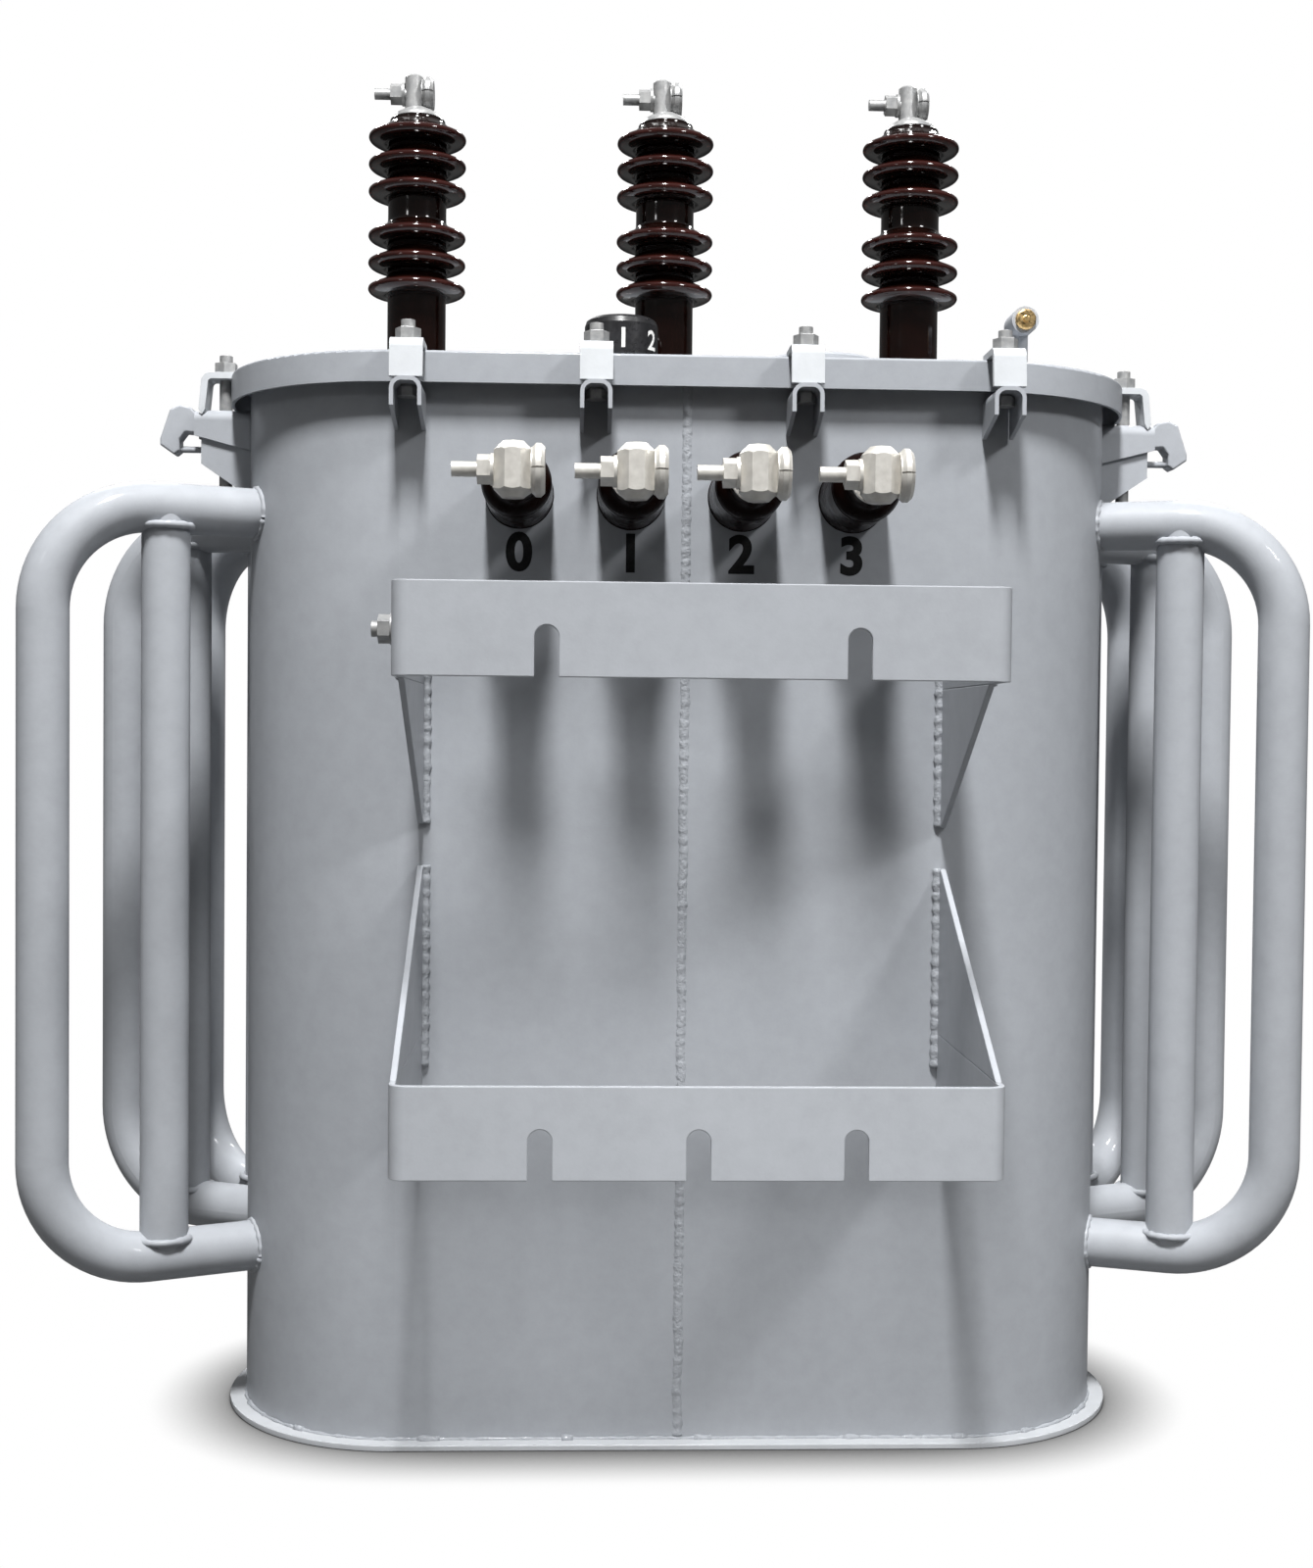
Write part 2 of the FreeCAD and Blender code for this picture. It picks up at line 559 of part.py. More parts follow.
def main():
    os.makedirs("parts", exist_ok=True)
    save("base_plate", make_base_plate())
    save("tank_wall", make_tank_wall())
    save("tank_rim", make_tank_rim())
    save("lid", make_lid())

    for name, (angle, leg, riser_distance) in COOLING_FRAMES.items():
        loop = make_loop(angle, leg)
        riser = make_riser(angle, riser_distance, loop)
        if name.startswith("left"):
            loop, riser = mirror_x(loop), mirror_x(riser)
        save("radiator_loop_" + name, loop)
        save("radiator_riser_" + name, riser)

    save("upper_bracket", make_bracket(UPPER_BRACKET_BOTTOM, UPPER_SLOTS))
    save("lower_bracket", make_bracket(LOWER_BRACKET_BOTTOM, LOWER_SLOTS))
    save("bracket_gussets", make_gussets())
    save("earth_terminal", make_earth_terminal())

    save("clamp_seats", Part.makeCompound(along_both_sides(make_seat(SEAT_REACH))))
    save("clamp_straps", Part.makeCompound(all_round(make_strap(), make_strap(NOTCH_DEPTH))))
    end_bolt = make_clamp_bolt(SEAT_TOP - END_BOLT_DROP)
    save("clamp_bolts", Part.makeCompound(all_round(make_clamp_bolt(), end_bolt)))
    hook = to_right_end(make_lifting_hook())
    save("lifting_hook_right", hook)
    save("lifting_hook_left", mirror_x(hook))

    hv_places = [HV_CENTRE + HV_PITCH * k for k in (-1, 0, 1)]
    for name, x in zip(("left", "middle", "right"), hv_places):
        save("hv_bushing_" + name, make_hv_bushing(x))
        save("hv_terminal_" + name, make_hv_terminal(x))
    save("hv_flanges", make_hv_flanges(hv_places))

    for k in range(4):
        x = LV_PITCH * (k - 1.5)
        save("lv_bushing_%d" % k, make_lv_bushing(x))
        save("lv_terminal_%d" % k, make_lv_terminal(x))

    save("tap_changer_base", make_tap_changer_base())
    save("tap_changer_knob", make_tap_changer_knob())
    save("handhole_cover", make_handhole_cover())
    save("relief_valve", make_relief_valve())
    save("relief_valve_face", make_relief_face())


main()
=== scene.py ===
"""Looks of a pole-mounted distribution transformer, built round its CAD frame.

The CAD nodes get materials and softened edges. Weld beads, turned porcelain and plain digits
are added to them, and the scene gets a floor, lamps and a camera. Blender's unit is the metre;
MM turns millimetres into metres.
"""

import json
import math
import random

import bmesh
import bpy
from mathutils import Matrix, Vector, noise


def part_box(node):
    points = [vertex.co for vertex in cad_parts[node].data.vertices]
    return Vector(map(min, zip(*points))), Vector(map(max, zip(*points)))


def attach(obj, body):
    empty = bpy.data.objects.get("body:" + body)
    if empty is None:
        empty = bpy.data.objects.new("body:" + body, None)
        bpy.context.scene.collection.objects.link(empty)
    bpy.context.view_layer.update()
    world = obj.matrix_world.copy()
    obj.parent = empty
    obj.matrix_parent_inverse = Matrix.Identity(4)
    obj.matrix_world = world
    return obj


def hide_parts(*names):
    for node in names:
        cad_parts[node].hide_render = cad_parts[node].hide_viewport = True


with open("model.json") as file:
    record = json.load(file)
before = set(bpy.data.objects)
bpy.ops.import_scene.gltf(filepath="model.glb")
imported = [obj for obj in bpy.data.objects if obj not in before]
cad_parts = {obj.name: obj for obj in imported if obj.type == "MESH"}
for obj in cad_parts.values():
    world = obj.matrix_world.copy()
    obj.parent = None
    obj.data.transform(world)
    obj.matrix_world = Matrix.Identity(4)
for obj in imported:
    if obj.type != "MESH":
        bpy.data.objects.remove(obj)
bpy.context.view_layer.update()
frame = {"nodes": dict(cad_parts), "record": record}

BODY = "transformer"
KNOB_BODY = "tap_changer_knob"
MM = 0.001

# ---- places read from the frame ----------------------------------------------------

TANK_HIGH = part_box("tank_wall")[1]
TANK_X = TANK_HIGH.x                      # half length of the tank
TANK_Y = TANK_HIGH.y                      # half depth, and radius of the round ends
END_X = TANK_X - TANK_Y                   # centre line of a round end
BASE_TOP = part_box("base_plate")[1].z
LID_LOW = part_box("lid")[0]
FRAME_NAMES = [side + "_" + place
               for side in ("left", "right") for place in ("front", "middle", "rear")]


# ---- node materials -------------------------------------------------------------------

class Shader:
    """Builds one Principled material whose patterns are in object space."""

    def __init__(self, name, roughness=0.5, metallic=0.0, coat=0.0, coat_roughness=0.05,
                 specular=0.5):
        self.material = bpy.data.materials.new(name)
        self.material.use_nodes = True
        self.tree = self.material.node_tree
        self.tree.nodes.clear()
        self.output = self.add("ShaderNodeOutputMaterial")
        self.bsdf = self.add("ShaderNodeBsdfPrincipled")
        self.bsdf.inputs["Roughness"].default_value = roughness
        self.bsdf.inputs["Metallic"].default_value = metallic
        self.bsdf.inputs["Coat Weight"].default_value = coat
        self.bsdf.inputs["Coat Roughness"].default_value = coat_roughness
        self.bsdf.inputs["Specular IOR Level"].default_value = specular
        self.link(self.bsdf.outputs[0], self.output.inputs["Surface"])
        self.coords = self.add("ShaderNodeTexCoord").outputs["Object"]

    def add(self, kind, **values):
        node = self.tree.nodes.new(kind)
        for key, value in values.items():
            setattr(node, key, value)
        return node

    def link(self, output, target):
        self.tree.links.new(output, target)

    def noise(self, scale, detail=3.0, roughness=0.5):
        """Noise factor in object space; scale is features per metre."""
        node = self.add("ShaderNodeTexNoise")
        node.inputs["Scale"].default_value = scale
        node.inputs["Detail"].default_value = detail
        node.inputs["Roughness"].default_value = roughness
        self.link(self.coords, node.inputs["Vector"])
        return node.outputs[0]

    def ramp(self, factor, *stops):
        """Colour ramp from (position, colour) stops."""
        node = self.add("ShaderNodeValToRGB")
        elements = node.color_ramp.elements
        while len(elements) < len(stops):
            elements.new(0.5)
        for element, (position, colour) in zip(elements, stops):
            element.position = position
            element.color = tuple(colour) + (1.0,)
        self.link(factor, node.inputs["Fac"])
        return node.outputs["Color"]

    def spread(self, factor, low, high):
        """Maps the middle of a noise factor's range onto a range of numbers."""
        node = self.add("ShaderNodeMapRange")
        for key, value in (("From Min", 0.3), ("From Max", 0.7),
                           ("To Min", low), ("To Max", high)):
            node.inputs[key].default_value = value
        self.link(factor, node.inputs["Value"])
        return node.outputs["Result"]

    def mix(self, factor, first, second, blend="MIX"):
        node = self.add("ShaderNodeMix", data_type="RGBA", blend_type=blend)
        sockets = node.inputs[0], node.inputs[6], node.inputs[7]    # factor, colours A and B
        for value, socket in zip((factor, first, second), sockets):
            if isinstance(value, bpy.types.NodeSocket):
                self.link(value, socket)
            elif isinstance(value, float):
                socket.default_value = value
            else:
                socket.default_value = tuple(value) + (1.0,)
        return node.outputs[2]

    def colour(self, source):
        self.link(source, self.bsdf.inputs["Base Color"])

    def roughness(self, source):
        self.link(source, self.bsdf.inputs["Roughness"])

    def bump(self, height, strength, distance, below=None):
        node = self.add("ShaderNodeBump")
        node.inputs["Strength"].default_value = strength
        node.inputs["Distance"].default_value = distance
        self.link(height, node.inputs["Height"])
        if below is not None:
            self.link(below, node.inputs["Normal"])
        self.link(node.outputs[0], self.bsdf.inputs["Normal"])
        return node.outputs[0]


def grey_enamel(name, dark, light, lumps=0.0):
    """Light grey enamel with faint orange peel, over rough weld metal where `lumps` is set."""
    s = Shader(name, coat=0.18, coat_roughness=0.08, specular=0.30)
    tone = s.ramp(s.noise(5.0, 4.0), (0.25, dark), (0.75, light))
    fine = s.ramp(s.noise(60.0, 5.0, roughness=0.65),
                  (0.30, (0.93, 0.93, 0.93)), (0.62, (1.0, 1.0, 1.0)))
    s.colour(s.mix(1.0, tone, fine, "MULTIPLY"))
    s.roughness(s.spread(s.noise(22.0, 4.0), 0.50, 0.64))
    waves = s.bump(s.noise(9.0, 2.0), 0.10, 0.004)
    peel = s.bump(s.noise(420.0, 2.0), 0.10, 0.0006, waves)
    if lumps:
        s.bump(s.noise(260.0, 5.0, roughness=0.62), lumps, 0.0022, peel)
    return s.material


def porcelain(name, coat, specular, smooth=0.07, rough=0.15):
    """Dark brown glazed porcelain with faint specks; its roughness goes from smooth to rough."""
    s = Shader(name, roughness=smooth, coat=coat, coat_roughness=0.02, specular=specular)
    glaze = s.ramp(s.noise(30.0, 3.0),
                   (0.25, (0.0030, 0.0012, 0.0009)), (0.80, (0.0085, 0.0028, 0.0020)))
    specks = s.ramp(s.noise(900.0, 2.0), (0.52, (1.0, 1.0, 1.0)), (0.72, (1.9, 1.2, 0.9)))
    s.colour(s.mix(0.5, glaze, s.mix(1.0, glaze, specks, "MULTIPLY")))
    s.roughness(s.spread(s.noise(45.0, 2.0), smooth, rough))
    s.bump(s.noise(55.0, 2.0), 0.12, 0.0015)
    return s.material


def glaze_edge():
    """Where the glaze runs thin on the edge of a shed it is redder."""
    s = Shader("thin_glaze", roughness=0.12, coat=0.5, coat_roughness=0.02, specular=0.3)
    s.colour(s.ramp(s.noise(38.0, 3.0),
                    (0.25, (0.014, 0.0034, 0.0027)), (0.80, (0.034, 0.0070, 0.0052))))
    s.roughness(s.spread(s.noise(45.0, 2.0), 0.08, 0.16))
    s.bump(s.noise(55.0, 2.0), 0.12, 0.0015)
    return s.material


def tinned_metal():
    """Tinned brass castings: warm pale, faintly grainy."""
    s = Shader("tinned_brass", metallic=0.35, specular=0.5)
    s.colour(s.ramp(s.noise(140.0, 4.0), (0.25, (0.55, 0.53, 0.49)), (0.75, (0.70, 0.68, 0.635))))
    s.roughness(s.spread(s.noise(260.0, 3.0), 0.30, 0.46))
    s.bump(s.noise(1500.0, 3.0), 0.20, 0.0003)
    return s.material


def galvanised_steel():
    """Zinc-coated bolts and terminals with a mottled bloom."""
    s = Shader("zinc_plate", metallic=0.35)
    s.colour(s.ramp(s.noise(180.0, 4.0), (0.25, (0.25, 0.255, 0.26)), (0.75, (0.39, 0.39, 0.385))))
    s.roughness(s.spread(s.noise(300.0, 3.0), 0.34, 0.52))
    s.bump(s.noise(1300.0, 3.0), 0.22, 0.0003)
    return s.material


def black_plastic():
    """Moulded black knob with a satin sheen."""
    s = Shader("black_moulding", coat=0.2, coat_roughness=0.15)
    s.colour(s.ramp(s.noise(120.0, 3.0),
                    (0.25, (0.008, 0.008, 0.009)), (0.75, (0.018, 0.018, 0.020))))
    s.roughness(s.spread(s.noise(260.0, 3.0), 0.25, 0.40))
    s.bump(s.noise(1600.0, 2.0), 0.15, 0.0002)
    return s.material


def brass():
    s = Shader("turned_brass", metallic=1.0)
    s.colour(s.ramp(s.noise(200.0, 4.0), (0.25, (0.70, 0.46, 0.18)), (0.75, (0.90, 0.66, 0.34))))
    s.roughness(s.spread(s.noise(350.0, 3.0), 0.22, 0.42))
    s.bump(s.noise(1500.0, 2.0), 0.15, 0.0002)
    return s.material


def white_marking():
    s = Shader("white_marking", roughness=0.5)
    s.colour(s.ramp(s.noise(700.0, 3.0), (0.30, (0.62, 0.62, 0.60)), (0.60, (0.82, 0.82, 0.80))))
    s.bump(s.noise(1500.0, 2.0), 0.15, 0.0001)
    return s.material


def black_marking():
    s = Shader("black_marking", roughness=0.60, specular=0.15)
    s.colour(s.ramp(s.noise(420.0, 4.0),
                    (0.30, (0.006, 0.006, 0.0065)), (0.75, (0.014, 0.014, 0.0145))))
    s.bump(s.noise(1500.0, 2.0), 0.15, 0.0001)
    return s.material


PAINT = grey_enamel("grey_enamel", (0.350, 0.366, 0.392), (0.376, 0.393, 0.420))
# A darker copy of the grey enamel: painted shade on the tank wall, its rim and its lid.
TANK_SHADE_PAINT = grey_enamel("shaded_tank_enamel", (0.312, 0.328, 0.353), (0.338, 0.354, 0.380))
# The clamp straps are the palest enamel, a painted highlight; then the base plate, also a painted
# highlight; the tank and its lid are the darkest, a painted shade.
STRAP_HIGHLIGHT_PAINT = grey_enamel("strap_highlight_enamel", (0.50, 0.52, 0.54), (0.57, 0.59, 0.61))
PORCELAIN = porcelain("brown_porcelain", 0.4, 0.3)
LV_PORCELAIN = porcelain("dark_porcelain", 0.0, 0.05, smooth=0.22, rough=0.34)
THIN_GLAZE = glaze_edge()
TINNED = tinned_metal()
ZINC = galvanised_steel()
BLACK = black_plastic()
BRASS = brass()
WHITE_MARK = white_marking()
BLACK_MARK = black_marking()
WELD_PAINT = grey_enamel("weld_enamel", (0.312, 0.328, 0.353), (0.345, 0.362, 0.388), lumps=0.8)
# A paler copy of the grey enamel: painted highlight on the base plate's lit top and edges.
BASE_HIGHLIGHT_PAINT = grey_enamel("base_highlight_enamel", (0.42, 0.435, 0.455), (0.46, 0.475, 0.495))
# Lit and shaded copies of the grey enamel by node: painted highlight on the straps and base plate,
# painted shade on the tank, its rim and its lid.
NODE_PAINTS = {"clamp_straps": STRAP_HIGHLIGHT_PAINT, "tank_wall": TANK_SHADE_PAINT, "tank_rim": TANK_SHADE_PAINT,
               "lid": TANK_SHADE_PAINT, "base_plate": BASE_HIGHLIGHT_PAINT}
SLOT_MATERIALS = {
    "grey_paint": PAINT,
    "porcelain": PORCELAIN,
    "tinned_terminal": TINNED,
    "galvanised_steel": ZINC,
    "black_knob": BLACK,
    "brass": BRASS,
}


# ---- pieces ------------------------------------------------------------------------------

def piece(name, bm, material, body=BODY):
    """Turns a bmesh into a named, smooth-shaded piece that rides on a body."""
    bmesh.ops.recalc_face_normals(bm, faces=bm.faces)
    mesh = bpy.data.meshes.new(name)
    bm.to_mesh(mesh)
    bm.free()
    mesh.materials.append(material)
    for polygon in mesh.polygons:
        polygon.use_smooth = True
    obj = bpy.data.objects.new(name, mesh)
    bpy.context.scene.collection.objects.link(obj)
    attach(obj, body)
    return obj


def bead(bm, points, radius, closed=False, seed=0, ripple=0.22, sides=8):
    """Adds a weld bead along a path; `ripple` is how much its radius varies, as a share."""
    rng = random.Random(seed)
    count = len(points)
    rings = []
    for i, point in enumerate(points):
        ahead = points[(i + 1) % count] if closed else points[min(i + 1, count - 1)]
        behind = points[(i - 1) % count] if closed else points[max(i - 1, 0)]
        along = (ahead - behind).normalized()
        upright = abs(along.z) > 0.95
        side = along.orthogonal().normalized() if upright else along.cross(Vector((0, 0, 1)))
        side.normalize()
        up = side.cross(along).normalized()
        r = radius * (1.0 + ripple * (0.5 * math.sin(i * 1.7) + rng.uniform(-0.5, 0.5)))
        rings.append([bm.verts.new(point + r * (math.cos(2 * math.pi * k / sides) * side
                                                + math.sin(2 * math.pi * k / sides) * up))
                      for k in range(sides)])
    for i in range(count if closed else count - 1):
        first, second = rings[i], rings[(i + 1) % count]
        for k in range(sides):
            bm.faces.new((first[k], first[(k + 1) % sides], second[(k + 1) % sides], second[k]))
    if not closed:
        bm.faces.new(rings[0])
        bm.faces.new(rings[-1])


def line(start, end, step):
    """Points from start to end about `step` apart."""
    start, end = Vector(start), Vector(end)
    count = max(2, int((end - start).length / step) + 1)
    return [start.lerp(end, i / (count - 1)) for i in range(count)]


def oval_path(offset, height, step):
    """Closed path round the tank, `offset` outside its wall."""
    radius = TANK_Y + offset
    points = line((-END_X, -radius, height), (END_X, -radius, height), step)[:-1]
    arc = int(math.pi * radius / step)
    points += [Vector((END_X + radius * math.sin(math.pi * k / arc),
                       -radius * math.cos(math.pi * k / arc), height)) for k in range(arc)]
    points += line((END_X, radius, height), (-END_X, radius, height), step)[:-1]
    points += [Vector((-END_X - radius * math.sin(math.pi * k / arc),
                       radius * math.cos(math.pi * k / arc), height)) for k in range(arc)]
    return points


CURVE_STEPS = 4                  # points on the curve from one profile point to the next


def lathe(bm, profile, segments):
    """Turned surface about local Z from (radius, height) points joined by smooth curves."""
    points = [Vector((r, 0, z)) for r, z in profile]
    curve = []
    for i in range(len(points) - 1):
        before, after = points[max(i - 1, 0)], points[min(i + 2, len(points) - 1)]
        start, end = points[i], points[i + 1]
        for k in range(CURVE_STEPS):
            t = k / CURVE_STEPS
            curve.append(0.5 * ((2 * start) + (end - before) * t
                                + (2 * before - 5 * start + 4 * end - after) * t * t
                                + (3 * start - before - 3 * end + after) * t * t * t))
    curve.append(points[-1])
    rings = []
    for point in curve:
        radius = max(point.x, 0.0)
        rings.append([bm.verts.new((radius * math.cos(2 * math.pi * k / segments),
                                    radius * math.sin(2 * math.pi * k / segments), point.z))
                      for k in range(segments)])
    for first, second in zip(rings, rings[1:]):
        for k in range(segments):
            after = (k + 1) % segments
            bm.faces.new((first[k], first[after], second[after], second[k]))
    bm.faces.new(rings[0])
    bm.faces.new(rings[-1])


def placed_piece(name, bm, material, matrix, body=BODY):
    """A piece whose mesh is in its own axes and is set in place by a matrix."""
    obj = piece(name, bm, material, body)
    obj.matrix_world = matrix
    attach(obj, body)
    return obj


# ---- CAD nodes: material and softened edges ------------------------------------------

JOIN_DISTANCE = 0.01 * MM        # vertices closer than this are one
FLAT_ANGLE = 0.6                 # degrees: faces that differ by less are joined
SHARP_ANGLE = 35                 # degrees: edges that turn by more are rounded
# Width of the rounding on each node's edges, in millimetres.
SOFT_EDGES = {
    "base_plate": 0.8, "lid": 0.6,
    "upper_bracket": 0.8, "lower_bracket": 0.8, "bracket_gussets": 0.8, "earth_terminal": 0.5,
    "clamp_seats": 0.7, "clamp_straps": 1.2, "clamp_bolts": 0.5,
    "lifting_hook_left": 0.8, "lifting_hook_right": 0.8,
    "hv_terminal_left": 0.5, "hv_terminal_middle": 0.5, "hv_terminal_right": 0.5, "hv_flanges": 0.8,
    "handhole_cover": 0.8, "relief_valve": 0.5, "relief_valve_face": 0.4, "tap_changer_base": 0.5,
}
SOFT_EDGES.update({"lv_terminal_%d" % k: 0.6 for k in range(4)})


def soften_edges(obj, width):
    """Rounds sharp edges once flat faces have been joined into whole ones."""
    weld = obj.modifiers.new("join_vertices", "WELD")
    weld.merge_threshold = JOIN_DISTANCE
    merge = obj.modifiers.new("whole_faces", "DECIMATE")
    merge.decimate_type = "DISSOLVE"
    merge.angle_limit = math.radians(FLAT_ANGLE)
    soften = obj.modifiers.new("soft_edges", "BEVEL")
    soften.width = width
    soften.segments = 2
    soften.limit_method = "ANGLE"
    soften.angle_limit = math.radians(SHARP_ANGLE)
    flatten = obj.modifiers.new("flat_faces", "WEIGHTED_NORMAL")
    flatten.keep_sharp = True


def finish_cad_nodes():
    """Gives every CAD node its material, and those in SOFT_EDGES softer edges."""
    slots = {entry["node"]: entry["material_slot"] for entry in frame["record"]["subparts"]}
    for name, obj in frame["nodes"].items():
        obj.data.materials.clear()
        obj.data.materials.append(NODE_PAINTS.get(name, SLOT_MATERIALS[slots[name]]))
        if name in SOFT_EDGES:
            soften_edges(obj, SOFT_EDGES[name] * MM)


# ---- welds ------------------------------------------------------------------------------

LOOP_PIPE_RADIUS = 22.25 * MM
COLLAR_STEPS = 56
HEADER_BEAD = 2.6 * MM
RISER_BEAD = 3.3 * MM
RISER_RING_GAP = 2.6 * MM        # how far outside the riser its bead is centred
RING_SETBACK = 16.0 * MM         # how far the riser's bead lies from the header's centre line

BASE_BEAD = 1.8 * MM
BASE_BEAD_OFFSET = 0.2 * MM      # outside the wall and above the base plate
BASE_STEP = 5 * MM
SPOT_BEADS = (2.6, 3.6)          # millimetres: thicker spots along the base bead
SPOT_STEPS = (3, 6)              # how many steps of the path a spot covers
SPOT_GAPS = (8, 22)              # and how many lie between two spots
SEAM_RADIUS = 6.0 * MM
SEAM_DEPTH = 4.4 * MM            # how far behind the wall's face the bead is centred
SEAM_DRIFT = 1.5 * MM
SEAM_ABOVE_BASE = 2 * MM
SEAM_INTO_LID = 14 * MM          # past the lower edge of the lid's skirt

ON_WALL = -TANK_Y - 0.6 * MM     # centre of a bead laid on the front of the tank
ON_PLATE = 0.6 * MM              # how far outside a bracket's arm its bead is centred
ARM_BEAD = 2.8 * MM
ARM_EDGE_BEAD = 1.9 * MM
ARM_EDGE_INSET = 0.4 * MM
ARM_EDGE_START = 4 * MM          # ahead of the tank
ARM_EDGE_END = 66 * MM           # behind the bracket's front face
GUSSET_THICKNESS = 5.0 * MM
GUSSET_BEAD = 4.4 * MM
GUSSET_BEAD_INSET = 1.2 * MM     # inside the gusset's inner face
BEAD_RUN_ON = 30 * MM            # how far a gusset's bead goes on behind the bracket
UPPER_GUSSET_TIP = 0.542         # metres above the ground
LOWER_GUSSET_TIP = 0.506


def frame_axis(name):
    """Direction, riser and header heights of one cooling frame, read from its boxes."""
    loop_low, loop_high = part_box("radiator_loop_" + name)
    riser_low, riser_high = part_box("radiator_riser_" + name)
    riser = (riser_low + riser_high) / 2
    side = 1 if riser.x > 0 else -1
    centre = Vector((side * END_X, 0, 0))
    outward = Vector((riser.x - centre.x, riser.y, 0))
    distance = outward.length
    outward.normalize()
    return {
        "centre": centre, "outward": outward, "across": Vector((-outward.y, outward.x, 0)),
        "riser_distance": distance, "riser_radius": (riser_high.x - riser_low.x) / 2,
        "top": loop_high.z - LOOP_PIPE_RADIUS, "bottom": loop_low.z + LOOP_PIPE_RADIUS,
    }


def pipe_collars(name, bm, seed):
    """Weld collars where the two headers enter the tank and the riser meets them."""
    f = frame_axis(name)
    for k, height in enumerate((f["top"], f["bottom"])):
        points = []
        for i in range(COLLAR_STEPS):
            a = 2 * math.pi * i / COLLAR_STEPS
            sideways = LOOP_PIPE_RADIUS * math.cos(a)
            out = math.sqrt(TANK_Y ** 2 - sideways ** 2)
            points.append(f["centre"] + f["outward"] * out + f["across"] * sideways
                          + Vector((0, 0, height + LOOP_PIPE_RADIUS * math.sin(a))))
        bead(bm, points, HEADER_BEAD, closed=True, seed=seed + k, ripple=0.35)
        facing = -1 if height == f["top"] else 1
        meeting = f["centre"] + f["outward"] * f["riser_distance"]
        ring = f["riser_radius"] + RISER_RING_GAP
        points = []
        for i in range(COLLAR_STEPS):
            a = 2 * math.pi * i / COLLAR_STEPS
            points.append(meeting + ring * (math.cos(a) * f["across"] + math.sin(a) * f["outward"])
                          + Vector((0, 0, height + facing * RING_SETBACK)))
        bead(bm, points, RISER_BEAD, closed=True, seed=seed + 10 + k)


def wandering(points, amount, seed):
    """The same path, drifting sideways a little as a hand-laid bead does."""
    return [p + Vector((amount * noise.noise(Vector((seed, 0, 30 * p.z))), 0, 0)) for p in points]


def make_base_weld():
    """The bead round the foot of the wall, with thicker spots at random."""
    bm = bmesh.new()
    junction = oval_path(BASE_BEAD_OFFSET, BASE_TOP + BASE_BEAD_OFFSET, BASE_STEP)
    bead(bm, junction, BASE_BEAD, closed=True, seed=1, ripple=0.5)
    rng = random.Random(5)
    start = 4
    while start < len(junction) - 8:
        length = rng.randint(*SPOT_STEPS)
        radius = rng.uniform(*SPOT_BEADS) * MM
        bead(bm, junction[start:start + length], radius, seed=300 + start, ripple=0.4)
        start += length + rng.randint(*SPOT_GAPS)
    piece("weld_base", bm, WELD_PAINT)


def make_seam_welds():
    """The upright seams in the middle of the front and the rear."""
    bm = bmesh.new()
    for seed, wall in ((2, -TANK_Y), (3, TANK_Y)):
        inside = wall * (1 - SEAM_DEPTH / TANK_Y)
        bottom, top = BASE_TOP + SEAM_ABOVE_BASE, LID_LOW.z + SEAM_INTO_LID
        seam = line((0, inside, bottom), (0, inside, top), 2.5 * MM)
        bead(bm, wandering(seam, SEAM_DRIFT, seed), SEAM_RADIUS, seed=seed, ripple=0.07, sides=28)
    piece("weld_seams", bm, WELD_PAINT)


def make_frame_welds():
    for k, name in enumerate(FRAME_NAMES):
        bm = bmesh.new()
        pipe_collars(name, bm, 20 + 30 * k)
        piece("weld_frame_" + name, bm, PAINT)


def make_bracket_welds():
    """Beads where the bracket arms and the gussets meet the tank and each other."""
    bm = bmesh.new()
    for k, node in enumerate(("upper_bracket", "lower_bracket")):
        low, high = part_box(node)
        for side in (-1, 1):
            x = side * (high.x + ON_PLATE)
            bead(bm, line((x, ON_WALL, low.z), (x, ON_WALL, high.z), 4 * MM),
                 ARM_BEAD, seed=200 + 2 * k + side)
            edge = low.z if node == "upper_bracket" else high.z
            x -= side * ARM_EDGE_INSET
            rear, front = -TANK_Y - ARM_EDGE_START, low.y + ARM_EDGE_END
            bead(bm, line((x, rear, edge), (x, front, edge), 5 * MM),
                 ARM_EDGE_BEAD, seed=210 + 2 * k + side)
    low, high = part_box("bracket_gussets")
    upper_low, lower_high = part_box("upper_bracket")[0].z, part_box("lower_bracket")[1].z
    for side in (-1, 1):
        x = side * (high.x - GUSSET_THICKNESS - GUSSET_BEAD_INSET)
        for start, end, seed in ((UPPER_GUSSET_TIP, upper_low + BEAD_RUN_ON, 220),
                                 (lower_high - BEAD_RUN_ON, LOWER_GUSSET_TIP, 230)):
            bead(bm, line((x, ON_WALL, start), (x, ON_WALL, end), 3 * MM),
                 GUSSET_BEAD, seed=seed + side, ripple=0.26, sides=16)
    piece("weld_brackets", bm, WELD_PAINT)


# ---- porcelain -----------------------------------------------------------------------------

SHED_HEIGHTS = (87, 111, 136, 177, 202, 227)    # millimetres above the lid
SHED_RIM = 41.0 * MM             # outside this radius the glaze runs thin


def hv_profile(height):
    """(radius, height) points, written in millimetres: a plain body and two groups of sheds."""
    outline = [(0.5, 0), (26.5, 0), (27, 1), (27, 30), (27, 60), (27, 74)]
    for tip in SHED_HEIGHTS:
        outline += [(27.3, tip - 4.5), (31, tip - 6.8), (38, tip - 5.8), (42.5, tip - 3.9),
                    (44.6, tip - 1.6), (44.9, tip + 0.6), (43.6, tip + 2.8), (38, tip + 5.4),
                    (32.5, tip + 8.0), (28, tip + 11.5)]
        if tip == SHED_HEIGHTS[2]:
            outline += [(27, tip + 16), (27, tip + 30)]
    outline += [(25.5, height - 4), (23, height - 0.5), (0.5, height)]
    return [(r * MM, z * MM) for r, z in outline]


